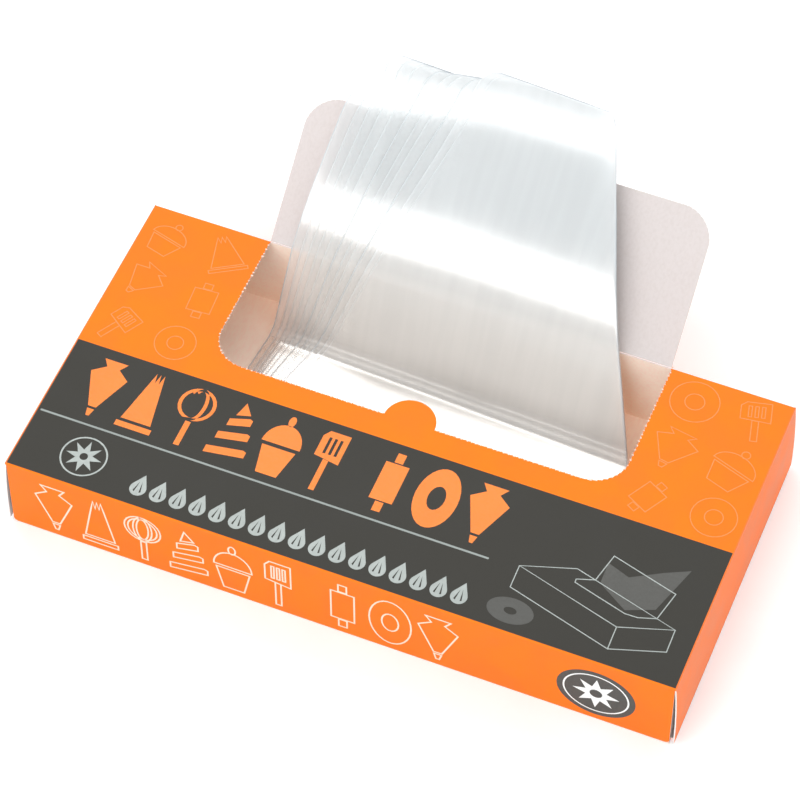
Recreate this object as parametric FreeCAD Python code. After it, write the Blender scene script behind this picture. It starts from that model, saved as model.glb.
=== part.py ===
"""Dispenser carton of disposable piping bags: folded board panels, torn-out flap and film bags.

Frame: origin at the centre of the carton's base, +X along its length to the right, +Y to the
rear, +Z up. The front of the carton faces -Y. Lengths are in millimetres, angles in degrees.
"""
import FreeCAD
import Part

import math
import os

Vector = FreeCAD.Vector

# Carton, outside sizes.
LENGTH = 280.0
WIDTH = 143.0
HEIGHT = 39.0
BOARD = 0.5
CREASE_RADIUS = 0.4
WALL_CORNER = 2.0
END_INSET = 0.5          # the four long panels stop this far inside the carton's ends
GLUE_FLAP_HEIGHT = 15.0
GLUE_FLAP_END_GAP = 8.0

# Dispensing mouth in the top panel, and the flap torn out of it.
MOUTH_WIDTH = 175.6
MOUTH_DEPTH = 64.5
MOUTH_CORNER = 15.0
TAB_RADIUS = 10.8
TAB_POINTS = 25
NIB_PITCH = 2.2
NIB_LENGTH = 0.6
NIB_HEIGHT = 0.4
TEAR_GAP = 0.2
FLAP_LEAN = 42.0         # the open flap's slope above the horizontal
FLAP_ROOT_GAP = 0.15

# End closures: a bowed end flap with a tuck tongue, over two dust flaps.
END_BOTTOM = 1.3
END_STANDOFF = 1.5       # how far the end flap's foot stands out of the carton's end
END_BOW = 0.5
TONGUE_DEPTH = 12.0
TONGUE_CORNER = 7.0
TONGUE_SIDE_GAP = 1.5
TONGUE_ROOT_GAP = 0.35   # leaves the fold room to turn
DUST_DEPTH = 34.0
DUST_GAP = 0.3
DUST_TAPER = 6.0
DUST_FOOT = 2.4

# Stack of folded film bags.
BAG_COUNT = 50
BAGS_PER_BUNDLE = 5
FILM = 0.09              # one bag lying flat, both of its walls
BAG_PITCH = 0.11
STACK_FOOT = 1.1
FLAP_TO_BAGS = 0.45
FRONT_BAG_GAP = 0.35
STEEP_LEAN = 61.0        # slope of the bags between the carton's floor and its rear crease
FRONT_WALL_GAP = 5.0
BAG_TOP = 94.0           # length of bag above the rear crease
TOP_WAVE = 2.0
RIGHT_EDGE = 66.6        # at the rear crease, from the carton's middle
LEFT_EDGE = -78.0
FAN_WIDTH = 36.0         # how far the left edges are fanned out at the rear crease
SIDE_TAPER = 0.31
OUTER_TAPER = 0.14
TOP_CORNER = 12.0


def save(name, shape):
    """Write one node's solids to its STEP file."""
    shape.exportStep(os.path.join("parts", name + ".step"))


def box(low, high):
    """Upright box between two opposite corners."""
    size = [high[i] - low[i] for i in range(3)]
    return Part.makeBox(size[0], size[1], size[2], Vector(*low))


def plate(points, thickness_vector):
    """Flat plate: a closed outline pushed along a vector."""
    outline = Part.makePolygon(points + [points[0]])
    return Part.Face(outline).extrude(thickness_vector)


def crease(panel, y, z):
    """Round the panel's outer long edges that lie along X at the given y and z."""
    edges = []
    for edge in panel.Edges:
        middle = edge.BoundBox.Center
        along_x = edge.BoundBox.YLength < 1e-6 and edge.BoundBox.ZLength < 1e-6
        if along_x and abs(middle.y - y) < 1e-6 and abs(middle.z - z) < 1e-6:
            edges.append(edge)
    return panel.makeFillet(CREASE_RADIUS, edges)


# ---- the torn line between the top panel and the dispensing flap --------------------------

def mouth_path():
    """Edges seen from above, from the left end of the rear crease to the right end.

    Each comes with True where the board is torn, and False round the clean-cut thumb tab.
    """
    half = MOUTH_WIDTH / 2
    rear = WIDTH / 2
    lip = rear - MOUTH_DEPTH
    bend = MOUTH_CORNER
    return [
        (straight((-half, rear), (-half, lip + bend)), True),
        (arc((-half + bend, lip + bend), bend, 180, 270), True),
        (straight((-half + bend, lip), (-TAB_RADIUS, lip)), True),
        (arc((0, lip), TAB_RADIUS, 180, 0), False),
        (straight((TAB_RADIUS, lip), (half - bend, lip)), True),
        (arc((half - bend, lip + bend), bend, 270, 360), True),
        (straight((half, lip + bend), (half, rear)), True),
    ]


def straight(start, end):
    """Straight edge in the XY plane."""
    return Part.LineSegment(Vector(*start, 0), Vector(*end, 0)).toShape()


def arc(centre, radius, start, end):
    """Round edge in the XY plane from one direction to another, by way of their middle."""
    def at(angle):
        turn = math.radians(angle)
        return Vector(centre[0] + radius * math.cos(turn), centre[1] + radius * math.sin(turn), 0)
    return Part.Arc(at(start), at((start + end) / 2), at(end)).toShape()


def nibbed_line():
    """The torn line as points, with the short nibs that the tear leaves on the top panel."""
    points = []
    for edge, torn in mouth_path():
        if not torn:
            points += edge.discretize(TAB_POINTS)
            continue
        count = int(edge.Length / NIB_PITCH)
        step = edge.Length / count
        for index in range(count):
            start = index * step
            nib = start + step - NIB_LENGTH
            points.append(point_at(edge, start))
            points.append(point_at(edge, nib))
            points.append(nib_at(edge, nib + NIB_LENGTH / 2))
        points.append(point_at(edge, edge.Length))
    return without_repeats(points)


def point_at(edge, distance):
    """Point on an edge at a distance from its start."""
    return edge.valueAt(edge.getParameterByLength(distance))


def nib_at(edge, distance):
    """Point beside an edge, on the side of the mouth's middle."""
    parameter = edge.getParameterByLength(distance)
    along = edge.tangentAt(parameter)
    inward = Vector(-along.y, along.x, 0)
    return edge.valueAt(parameter) + inward * NIB_HEIGHT


def without_repeats(points):
    """Drop each point that repeats the one before it."""
    kept = [points[0]]
    for point in points[1:]:
        if point.distanceToPoint(kept[-1]) > 1e-4:
            kept.append(point)
    return kept


def mouth_face(height):
    """Face that fills the torn outline, closed behind the rear crease."""
    beyond = WIDTH / 2 + 1.0
    line = [Vector(p.x, p.y, height) for p in nibbed_line()]
    corners = [Vector(line[-1].x, beyond, height), Vector(line[0].x, beyond, height)]
    return Part.Face(Part.makePolygon(line + corners + [line[0]]))


# ---- carton panels -------------------------------------------------------------------------

def panel_end():
    """Distance from the carton's middle to the cut ends of its long panels."""
    return LENGTH / 2 - END_INSET


def top_panel():
    """Top panel with the dispensing mouth cut out and the thumb tab left on its lip."""
    end = panel_end()
    panel = box((-end, -WIDTH / 2, HEIGHT - BOARD), (end, WIDTH / 2, HEIGHT))
    panel = crease(panel, -WIDTH / 2, HEIGHT)
    panel = crease(panel, WIDTH / 2, HEIGHT)
    cutter = mouth_face(HEIGHT - BOARD - 1).extrude(Vector(0, 0, BOARD + 2))
    return panel.cut(cutter)


def bottom_panel():
    """Floor of the carton."""
    end = panel_end()
    panel = box((-end, -WIDTH / 2, 0), (end, WIDTH / 2, BOARD))
    panel = crease(panel, -WIDTH / 2, 0)
    return crease(panel, WIDTH / 2, 0)


def front_panel():
    """Front wall, with the two lower corners that show rounded by the cutting die."""
    end = panel_end()
    y = -WIDTH / 2
    wall = box((-end, y, BOARD), (end, y + BOARD, HEIGHT - BOARD))
    corners = []
    for edge in wall.Edges:
        across = edge.BoundBox.YLength > BOARD / 2
        if across and edge.BoundBox.Center.z < HEIGHT / 2:
            corners.append(edge)
    return wall.makeFillet(WALL_CORNER, corners)


def rear_panel():
    """Rear wall, which rises to the crease where the dispensing flap folds."""
    end = panel_end()
    y = WIDTH / 2
    wall = box((-end, y - BOARD, BOARD), (end, y, HEIGHT - BOARD))
    half = MOUTH_WIDTH / 2 - NIB_HEIGHT - TEAR_GAP
    low = (-half, y - BOARD, HEIGHT - BOARD)
    high = (half, y, HEIGHT - FLAP_ROOT_GAP)
    return wall.fuse(box(low, high)).removeSplitter()


def glue_flap():
    """Strip of the floor panel folded up and glued inside the front wall."""
    end = panel_end() - GLUE_FLAP_END_GAP
    y = -WIDTH / 2 + BOARD
    foot = Vector(-end, y, BOARD)
    points = [
        foot,
        Vector(end, y, BOARD),
        Vector(end - BOARD * 6, y, GLUE_FLAP_HEIGHT),
        Vector(-end + BOARD * 6, y, GLUE_FLAP_HEIGHT),
    ]
    return plate(points, Vector(0, BOARD, 0))


def dispensing_flap():
    """Flap torn out of the top panel and swung up and back about the rear crease."""
    blank = mouth_face(HEIGHT - BOARD).extrude(Vector(0, 0, BOARD))
    reach = MOUTH_WIDTH / 2 - TEAR_GAP
    lip = WIDTH / 2 - MOUTH_DEPTH + TEAR_GAP
    limit = box((-reach, lip, 0), (reach, WIDTH / 2 - FLAP_ROOT_GAP, HEIGHT + 1))
    flap = blank.common(limit)
    flap.rotate(Vector(0, WIDTH / 2, HEIGHT), Vector(1, 0, 0), FLAP_LEAN - 180.0)
    return flap


# ---- end closures, made for the right-hand end and mirrored for the left -------------------

def bowed_strip(top, foot, bow, thickness):
    """Cross-section in XZ of a bowed board, from the top and foot of its inner side."""
    middle = (top + foot) * 0.5 + Vector(bow, 0, 0)
    shift = Vector(thickness, 0, 0)
    near = Part.Arc(top, middle, foot).toShape()
    far = Part.Arc(top + shift, middle + shift, foot + shift).toShape()
    upper = Part.LineSegment(top, top + shift).toShape()
    lower = Part.LineSegment(foot, foot + shift).toShape()
    return Part.Face(Part.Wire(Part.__sortEdges__([near, lower, far, upper])))


def end_flap():
    """End flap, bowed outwards and standing a little off the carton at its foot."""
    y = -WIDTH / 2
    top = Vector(panel_end(), y, HEIGHT)
    foot = Vector(panel_end() + END_STANDOFF, y, END_BOTTOM)
    return bowed_strip(top, foot, END_BOW, BOARD).extrude(Vector(0, WIDTH, 0))


def tuck_tongue():
    """Tongue on the end flap's foot, tucked in over the carton's floor."""
    root = panel_end() + END_STANDOFF - TONGUE_ROOT_GAP
    tip = root - TONGUE_DEPTH
    side = WIDTH / 2 - BOARD - TONGUE_SIDE_GAP
    tongue = box((tip, -side, END_BOTTOM), (root, side, END_BOTTOM + BOARD))
    corners = []
    for edge in tongue.Edges:
        upright = edge.BoundBox.ZLength > BOARD / 2
        if upright and abs(edge.BoundBox.Center.x - tip) < 1e-6:
            corners.append(edge)
    return tongue.makeFillet(TONGUE_CORNER, corners)


def dust_flap(side):
    """Small flap folded in from the front wall (side -1) or the rear wall (side 1)."""
    x = panel_end() - DUST_GAP
    root = side * (WIDTH / 2 - BOARD - DUST_GAP)
    tip = side * (WIDTH / 2 - DUST_DEPTH)
    top = HEIGHT - BOARD - DUST_GAP
    points = [
        Vector(x, root, DUST_FOOT),
        Vector(x, root, top),
        Vector(x, tip, top - DUST_TAPER),
        Vector(x, tip, DUST_FOOT + DUST_TAPER),
    ]
    return plate(points, Vector(-BOARD, 0, 0))


def save_both_ends(name, shape):
    """Write a right-hand piece and its mirror image at the left-hand end."""
    save("right_" + name, shape)
    save("left_" + name, shape.mirror(Vector(0, 0, 0), Vector(1, 0, 0)))


# ---- bags ----------------------------------------------------------------------------------

def slope(angle):
    """Unit vector in the YZ plane that rises to the rear at an angle."""
    turn = math.radians(angle)
    return Vector(0, math.cos(turn), math.sin(turn))


def front_normal(angle):
    """Unit vector square to a slope, towards its front and upper side."""
    turn = math.radians(angle)
    return Vector(0, -math.sin(turn), math.cos(turn))


def crease_point(depth):
    """Where a layer bends over the rear crease, at a depth measured from the rearmost bag."""
    flap_side = Vector(0, WIDTH / 2, HEIGHT) + front_normal(FLAP_LEAN) * (BOARD + FLAP_TO_BAGS)
    half_turn = math.radians((STEEP_LEAN - FLAP_LEAN) / 2)
    mitre = front_normal((STEEP_LEAN + FLAP_LEAN) / 2)
    return flap_side + mitre * (depth / math.cos(half_turn))


def stack_depth():
    """Thickness of the whole stack, from its rearmost bag to the front of the front bag."""
    return BAG_COUNT * BAG_PITCH + FRONT_BAG_GAP


def fold_pivot():
    """Line about which the standing part of the stack tips, on the stack's upper side."""
    height = STACK_FOOT + stack_depth()
    front = crease_point(stack_depth())
    along = slope(STEEP_LEAN)
    return front - along * ((front.z - height) / along.z)


def bag_depth(number):
    """Depth of bag 1 (rearmost, lowest) to bag 50 (front, uppermost) in the stack."""
    extra = FRONT_BAG_GAP if number == BAG_COUNT else 0.0
    return (number - 1) * BAG_PITCH + extra


def fan(number):
    """0 for the outermost left edge of the fanned stack, 1 for the innermost."""
    return (number - 1) / (BAG_COUNT - 1)


def left_edge(number, along):
    """Left edge of a bag at a distance up from the rear crease, negative inside the carton."""
    taper = OUTER_TAPER + (SIDE_TAPER - OUTER_TAPER) * fan(number)
    return LEFT_EDGE + FAN_WIDTH * fan(number) + taper * along


def right_edge(along):
    """Right edge of every bag at a distance up from the rear crease."""
    return RIGHT_EDGE - SIDE_TAPER * along


def section(point, normal, left, right):
    """Thin rectangle across a bag, from its rear face to its front face."""
    rear_left = Vector(left, point.y, point.z)
    rear_right = Vector(right, point.y, point.z)
    front = normal * FILM
    corners = [rear_left, rear_right, rear_right + front, rear_left + front]
    return Part.makePolygon(corners + [corners[0]])


def standing_foot(number):
    """Lower end of a bag's standing part, square across the stack at the fold."""
    return fold_pivot() - front_normal(STEEP_LEAN) * (stack_depth() - bag_depth(number))


def standing_bag(number):
    """Part of a bag that stands up out of the carton and lies back along the flap."""
    crease_at = crease_point(bag_depth(number))
    foot = standing_foot(number)
    below = (crease_at - foot).Length
    half_turn = math.radians((STEEP_LEAN - FLAP_LEAN) / 2)
    mitre = front_normal((STEEP_LEAN + FLAP_LEAN) / 2) * (1 / math.cos(half_turn))
    lower = Part.makeLoft([
        section(foot, front_normal(STEEP_LEAN), left_edge(number, -below), right_edge(-below)),
        section(crease_at, mitre, left_edge(number, 0), right_edge(0)),
    ], True, True)
    upper = flap_side_plate(number, crease_at, mitre)
    return lower.fuse(upper)


def flap_side_plate(number, crease_at, mitre):
    """Upper part of a standing bag, with its top left corner cut back by the fanned folds."""
    top = BAG_TOP + TOP_WAVE * math.sin(number * 0.9)
    shoulder = top - TOP_CORNER
    stations = [(0.0, 0.0), (shoulder, 0.0), (top, TOP_CORNER)]
    plates = []
    for (start, start_cut), (end, end_cut) in zip(stations, stations[1:]):
        sections = []
        for along, cut in ((start, start_cut), (end, end_cut)):
            point = crease_at + slope(FLAP_LEAN) * along
            normal = mitre if along == 0 else front_normal(FLAP_LEAN)
            left = left_edge(number, along) + cut
            sections.append(section(point, normal, left, right_edge(along)))
        plates.append(Part.makeLoft(sections, True, True))
    return plates[0].fuse(plates[1:])


def lying_bag(number):
    """Part of a bag that lies on the carton's floor in front of the fold."""
    height = STACK_FOOT + bag_depth(number)
    rear = fold_pivot().y
    front = -WIDTH / 2 + BOARD + FRONT_WALL_GAP
    rear_along = -(crease_point(bag_depth(number)) - standing_foot(number)).Length
    front_along = rear_along - (rear - front)
    points = [
        Vector(left_edge(number, rear_along), rear, height),
        Vector(right_edge(rear_along), rear, height),
        Vector(right_edge(front_along), front, height),
        Vector(left_edge(number, front_along), front, height),
    ]
    return plate(points, Vector(0, 0, FILM))


def save_bags():
    """Write the bags behind the front one in bundles, and the front bag by itself."""
    last = BAG_COUNT - 1
    for first in range(1, BAG_COUNT, BAGS_PER_BUNDLE):
        numbers = range(first, min(first + BAGS_PER_BUNDLE - 1, last) + 1)
        name = "bags_%02d_to_%02d" % (numbers[0], numbers[-1])
        save(name + "_lying", Part.makeCompound([lying_bag(n) for n in numbers]))
        save(name + "_standing", Part.makeCompound([standing_bag(n) for n in numbers]))
    save("front_bag_lying", lying_bag(BAG_COUNT))
    save("front_bag_standing", standing_bag(BAG_COUNT))


def main():
    """Build every node and write it to the parts folder."""
    os.makedirs("parts", exist_ok=True)
    save("top_panel", top_panel())
    save("bottom_panel", bottom_panel())
    save("front_panel", front_panel())
    save("rear_panel", rear_panel())
    save("glue_flap", glue_flap())
    save("dispensing_flap", dispensing_flap())
    save_both_ends("end_flap", end_flap())
    save_both_ends("tuck_tongue", tuck_tongue())
    save_both_ends("front_dust_flap", dust_flap(-1))
    save_both_ends("rear_dust_flap", dust_flap(1))
    save_bags()


main()
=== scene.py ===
import math
import random

import bpy
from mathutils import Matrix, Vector


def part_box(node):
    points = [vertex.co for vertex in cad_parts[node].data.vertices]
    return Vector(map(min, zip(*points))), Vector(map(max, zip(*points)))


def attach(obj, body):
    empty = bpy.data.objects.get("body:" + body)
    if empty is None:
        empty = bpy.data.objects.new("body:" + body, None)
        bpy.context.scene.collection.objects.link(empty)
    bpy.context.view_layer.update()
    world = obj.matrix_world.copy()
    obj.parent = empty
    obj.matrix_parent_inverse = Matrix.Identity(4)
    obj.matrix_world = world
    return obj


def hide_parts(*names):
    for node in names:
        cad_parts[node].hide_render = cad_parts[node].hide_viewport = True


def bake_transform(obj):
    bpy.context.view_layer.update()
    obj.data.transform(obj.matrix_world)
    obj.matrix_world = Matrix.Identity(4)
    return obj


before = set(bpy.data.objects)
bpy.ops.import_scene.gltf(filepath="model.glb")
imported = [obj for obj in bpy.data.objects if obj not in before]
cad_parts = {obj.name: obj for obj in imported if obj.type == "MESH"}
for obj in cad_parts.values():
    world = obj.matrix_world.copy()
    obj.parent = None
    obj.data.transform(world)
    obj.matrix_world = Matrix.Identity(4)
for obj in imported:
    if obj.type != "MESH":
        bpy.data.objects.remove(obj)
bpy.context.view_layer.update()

MM = 0.001

# ---- sizes read from the frame ---------------------------------------------------------------

PANEL_LOW, PANEL_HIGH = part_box("top_panel")
TOP = PANEL_HIGH[2]
FRONT = PANEL_LOW[1]
REAR = PANEL_HIGH[1]
END = PANEL_HIGH[0]
WIDTH = REAR - FRONT
TEAR_GAP = 0.2 * MM
MOUTH_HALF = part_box("dispensing_flap")[1][0] + TEAR_GAP
LYING_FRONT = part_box("front_bag_lying")[0][1]
STACK_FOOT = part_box("bags_01_to_05_lying")[0][2]

# ---- sizes shared with the CAD ---------------------------------------------------------------

BOARD = 0.5 * MM
MOUTH_DEPTH = 64.5 * MM
MOUTH_CORNER = 15.0 * MM
TAB_RADIUS = 10.8 * MM
NIB_PITCH = 2.2 * MM
FLAP_LEAN = math.radians(42.0)
STEEP_LEAN = math.radians(61.0)
FLAP_TO_BAGS = 0.45 * MM
BAG_COUNT = 50
BAG_PITCH = 0.11 * MM
FRONT_BAG_GAP = 0.35 * MM
RIGHT_EDGE = 66.6 * MM
LEFT_EDGE = -78.0 * MM
FAN_WIDTH = 36.0 * MM
SIDE_TAPER = 0.31
BUNDLES = 10
BAGS_PER_BUNDLE = 5


# ---- colours ---------------------------------------------------------------------------------

def linear(code):
    """Linear RGBA from an sRGB hex code, by the sRGB standard's own curve."""
    values = [int(code[i:i + 2], 16) / 255 for i in (0, 2, 4)]
    return [v / 12.92 if v <= 0.04045 else ((v + 0.055) / 1.055) ** 2.4 for v in values] + [1.0]


# One orange print in lit and shaded copies: lighter on the top and pinker and lighter on the ends,
# painted light; darker on the front, rear, bottom and flap, painted shade.
TOP_ORANGE_PAINTED_LIGHT = linear("FB7C12")
ORANGE_PAINTED_SHADE = linear("F9720A")
FAINT_ORANGE = linear("FF8A3A")
LETTER_ORANGE = linear("FC831F")
END_ORANGE_PAINTED_LIGHT = linear("F97B34")
CHARCOAL = linear("3B3934")
SMOKE = linear("4B4A45")
SILVER = linear("9AA09C")
PEACH = linear("FFD6BE")
WHITE_INK = linear("F3F3F0")
RAW = linear("DAD1CE")
# Raw board inside the carton, warmer and brighter than RAW: painted bounce light from the orange
# walls.
RAW_PAINTED_BOUNCE = linear("FFECDC")
TORN = linear("F6D8C4")
RAW_EDGE = linear("F0EAE6")
RAW_FLECK = linear("B9ABA2")
# Peach colour of the faint painted glow on the carton's inner faces.
PAINTED_GLOW_COLOUR = linear("FFC29E")
DARK = (0.0, 0.0, 0.0, 1.0)
# FILM_LOW, the paler tint low down, is milkier film and painted light in one; FILM_HIGH is the
# film higher up.
FILM_LOW = linear("FFFBF6")
FILM_HIGH = linear("F6F8F8")
FILM_SEAM = linear("C8CED1")
FLOOR_PALE = linear("F7FAFA")
FLOOR_PALER = linear("FAFDFD")
ROOM_TINT = (0.88, 0.93, 0.97, 1.0)


# ---- node helpers ----------------------------------------------------------------------------

class Nodes:
    """Short names for building one material's nodes."""

    def __init__(self, name):
        self.material = bpy.data.materials.new(name)
        self.material.use_nodes = True
        self.tree = self.material.node_tree
        self.tree.nodes.clear()
        self.out = self.tree.nodes.new("ShaderNodeOutputMaterial")
        self.shader = self.tree.nodes.new("ShaderNodeBsdfPrincipled")
        self.tree.links.new(self.shader.outputs[0], self.out.inputs["Surface"])

    def link(self, source, target):
        """Link an output socket to an input socket."""
        self.tree.links.new(source, target)

    def feed(self, value, socket):
        """Link a socket, or set a plain value."""
        if isinstance(value, bpy.types.NodeSocket):
            self.link(value, socket)
        else:
            socket.default_value = value

    def math(self, operation, a, b=0.0, c=0.0):
        """One arithmetic operation on sockets or plain values."""
        node = self.tree.nodes.new("ShaderNodeMath")
        node.operation = operation
        for value, socket in zip((a, b, c), node.inputs):
            self.feed(value, socket)
        return node.outputs[0]

    def mix(self, factor, a, b):
        """Colour a where the factor is 0 and b where it is 1."""
        node = self.tree.nodes.new("ShaderNodeMix")
        node.data_type = "RGBA"
        self.feed(factor, node.inputs[0])
        self.feed(a, node.inputs[6])
        self.feed(b, node.inputs[7])
        return node.outputs[2]

    def lighten(self, colour, amount):
        """Colour with its brightness multiplied."""
        node = self.tree.nodes.new("ShaderNodeHueSaturation")
        self.feed(colour, node.inputs["Color"])
        self.feed(amount, node.inputs["Value"])
        return node.outputs[0]

    def ramp(self, value, low, high, start=0.0, end=1.0):
        """Smooth step of a value from low to high, scaled to start and end."""
        node = self.tree.nodes.new("ShaderNodeMapRange")
        node.interpolation_type = "SMOOTHSTEP"
        for number, socket in zip((value, low, high, start, end), node.inputs):
            self.feed(number, socket)
        return node.outputs[0]

    def coordinate(self, output="Object"):
        """Place on the object, or another kind of texture coordinate."""
        node = self.tree.nodes.new("ShaderNodeTexCoord")
        return node.outputs[output]

    def axes(self, vector):
        """The three parts of a vector."""
        node = self.tree.nodes.new("ShaderNodeSeparateXYZ")
        self.link(vector, node.inputs[0])
        return node.outputs

    def stretch(self, vector, scale):
        """Vector scaled by its own amount along each axis."""
        node = self.tree.nodes.new("ShaderNodeMapping")
        self.link(vector, node.inputs["Vector"])
        node.inputs["Scale"].default_value = scale
        return node.outputs[0]

    def dot(self, vector, direction):
        """How much of a vector points along a fixed direction."""
        node = self.tree.nodes.new("ShaderNodeVectorMath")
        node.operation = "DOT_PRODUCT"
        self.link(vector, node.inputs[0])
        node.inputs[1].default_value = direction
        return node.outputs["Value"]

    def noise(self, vector, scale, detail=3.0):
        """Cloudy noise between 0 and 1."""
        node = self.tree.nodes.new("ShaderNodeTexNoise")
        self.link(vector, node.inputs["Vector"])
        node.inputs["Scale"].default_value = scale
        node.inputs["Detail"].default_value = detail
        return node.outputs["Fac"]

    def bump(self, height, distance, strength):
        """Bump the shader's surface by a height."""
        node = self.tree.nodes.new("ShaderNodeBump")
        self.link(height, node.inputs["Height"])
        node.inputs["Distance"].default_value = distance
        node.inputs["Strength"].default_value = strength
        self.link(node.outputs[0], self.shader.inputs["Normal"])

    def attribute(self, name):
        """Value stored at each vertex under a name."""
        node = self.tree.nodes.new("ShaderNodeAttribute")
        node.attribute_name = name
        return node.outputs["Fac"]


# ---- board and ink ---------------------------------------------------------------------------

FIBRE_SCALE = 900.0
FIBRE_STRETCH = (1.0, 0.35, 1.0)
FIBRE_DETAIL = 4.0
MOTTLE_SCALE = 60.0
NOISE_RANGE = (0.3, 0.7)
MOTTLE_LIGHTNESS = (0.95, 1.05)
FLECK_RANGE = (0.35, 0.75)
FLECK_SHARE = 0.14
PRINT_FACING = 0.3
PRINT_ROUGHNESS = (0.40, 0.50)
RAW_ROUGHNESS = (0.78, 0.92)
BOARD_SPECULAR = 0.15
BOARD_BUMP = (0.05 * MM, 0.35)
# Strength of that painted glow.
PAINTED_GLOW_STRENGTH = 0.11

# Creases, each an axis, the side it lies on and how far out along it the ink over it begins.
CREASE_REACH = 1.0 * MM
TOP_CREASE = ((2, 1, TOP - CREASE_REACH),)
PANEL_CREASES = ((0, 1, END - CREASE_REACH), (0, -1, END - CREASE_REACH),
                 (1, -1, -FRONT - CREASE_REACH), (1, 1, REAR - CREASE_REACH))


def at_crease(n, place, creases):
    """1 near any of the creases and 0 elsewhere."""
    axes = n.axes(place)
    mask = 0.0
    for axis, side, limit in creases:
        beyond = n.math("GREATER_THAN", n.math("MULTIPLY", axes[axis], side), limit)
        mask = n.math("MAXIMUM", mask, beyond)
    return mask


def board_material(name, outside, paint, raw_inside=RAW, painted_glow=0.0, creases=()):
    """Folding-box board: ink and varnish on its outside and over its creases, raw elsewhere, with
    an optional painted glow on its inner side.
    """
    n = Nodes(name)
    place = n.coordinate()
    fibre = n.noise(n.stretch(place, FIBRE_STRETCH), FIBRE_SCALE, FIBRE_DETAIL)
    mottle = n.noise(place, MOTTLE_SCALE)
    facing = n.dot(n.coordinate("Normal"), outside)
    printed = n.math("GREATER_THAN", facing, PRINT_FACING)
    inner = n.math("LESS_THAN", facing, -PRINT_FACING)
    if creases:
        folded = n.math("MULTIPLY", at_crease(n, place, creases), n.math("SUBTRACT", 1.0, inner))
        printed = n.math("MAXIMUM", printed, folded)
    raw = n.mix(inner, RAW_EDGE, raw_inside)
    raw = n.mix(n.ramp(fibre, *FLECK_RANGE, 0.0, FLECK_SHARE), raw, RAW_FLECK)
    ink = n.lighten(paint(n, place), n.ramp(mottle, *NOISE_RANGE, *MOTTLE_LIGHTNESS))
    n.link(n.mix(printed, raw, ink), n.shader.inputs["Base Color"])
    ink_rough = n.ramp(mottle, *NOISE_RANGE, *PRINT_ROUGHNESS)
    raw_rough = n.ramp(fibre, *NOISE_RANGE, *RAW_ROUGHNESS)
    rough = n.math("MULTIPLY_ADD", printed, n.math("SUBTRACT", ink_rough, raw_rough), raw_rough)
    n.link(rough, n.shader.inputs["Roughness"])
    n.shader.inputs["Specular IOR Level"].default_value = BOARD_SPECULAR
    # The inner faces glow faintly in peach: painted light that brightens the inside of the carton.
    if painted_glow:
        n.link(n.mix(inner, DARK, PAINTED_GLOW_COLOUR), n.shader.inputs["Emission Color"])
        n.shader.inputs["Emission Strength"].default_value = painted_glow
    n.bump(fibre, *BOARD_BUMP)
    return n.material


def plain_paint(colour):
    """Ink that is one colour all over, before the board's own variation."""
    def paint(n, place):
        return colour
    return paint


BAND_REAR = FRONT + 67.0 * MM
BAND_FRONT = FRONT + 0.5 * MM
RULE_Y = FRONT + 29.2 * MM
RULE_HALF = 0.45 * MM
RULE_LEFT = -END + 1.2 * MM
RULE_RIGHT = 53.0 * MM
PRINT_BLEND = 0.08 * MM

def top_paint(n, place):
    """Orange ink with the charcoal band along the front and the silver rule on it."""
    x, y, _ = n.axes(place)
    behind = n.ramp(y, BAND_REAR - PRINT_BLEND, BAND_REAR + PRINT_BLEND)
    before = n.ramp(y, BAND_FRONT - PRINT_BLEND, BAND_FRONT + PRINT_BLEND)
    band = n.math("MULTIPLY", before, n.math("SUBTRACT", 1.0, behind))
    # The top's orange is the lighter copy of the print, with painted light.
    colour = n.mix(band, TOP_ORANGE_PAINTED_LIGHT, CHARCOAL)
    offset = n.math("ABSOLUTE", n.math("SUBTRACT", y, RULE_Y))
    across = n.math("LESS_THAN", offset, RULE_HALF)
    inside = n.math("MULTIPLY", n.math("GREATER_THAN", x, RULE_LEFT),
                    n.math("LESS_THAN", x, RULE_RIGHT))
    return n.mix(n.math("MULTIPLY", across, inside), colour, SILVER)


INK_DARKER = 0.86
INK_DARK_RANGE = (0.3, 0.75)
INK_DARK_SHARE = 0.5
INK_ROUGH_SPREAD = 0.06
INK_BUMP = (0.03 * MM, 0.3)


def ink_material(name, colour, rough=0.45, metallic=0.0):
    """Thin printed ink with the grain of the board showing through."""
    n = Nodes(name)
    place = n.coordinate()
    grain = n.noise(place, FIBRE_SCALE)
    mottle = n.noise(place, MOTTLE_SCALE)
    dark = [c * INK_DARKER for c in colour[:3]] + [1.0]
    patches = n.ramp(mottle, *INK_DARK_RANGE, 0.0, INK_DARK_SHARE)
    n.link(n.mix(patches, colour, dark), n.shader.inputs["Base Color"])
    spread = n.ramp(grain, *NOISE_RANGE, rough - INK_ROUGH_SPREAD, rough + INK_ROUGH_SPREAD)
    n.link(spread, n.shader.inputs["Roughness"])
    n.shader.inputs["Metallic"].default_value = metallic
    n.bump(grain, *INK_BUMP)
    return n.material


def paint_node(name, material):
    """Give a CAD node its material."""
    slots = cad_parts[name].data.materials
    slots.clear()
    slots.append(material)


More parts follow.
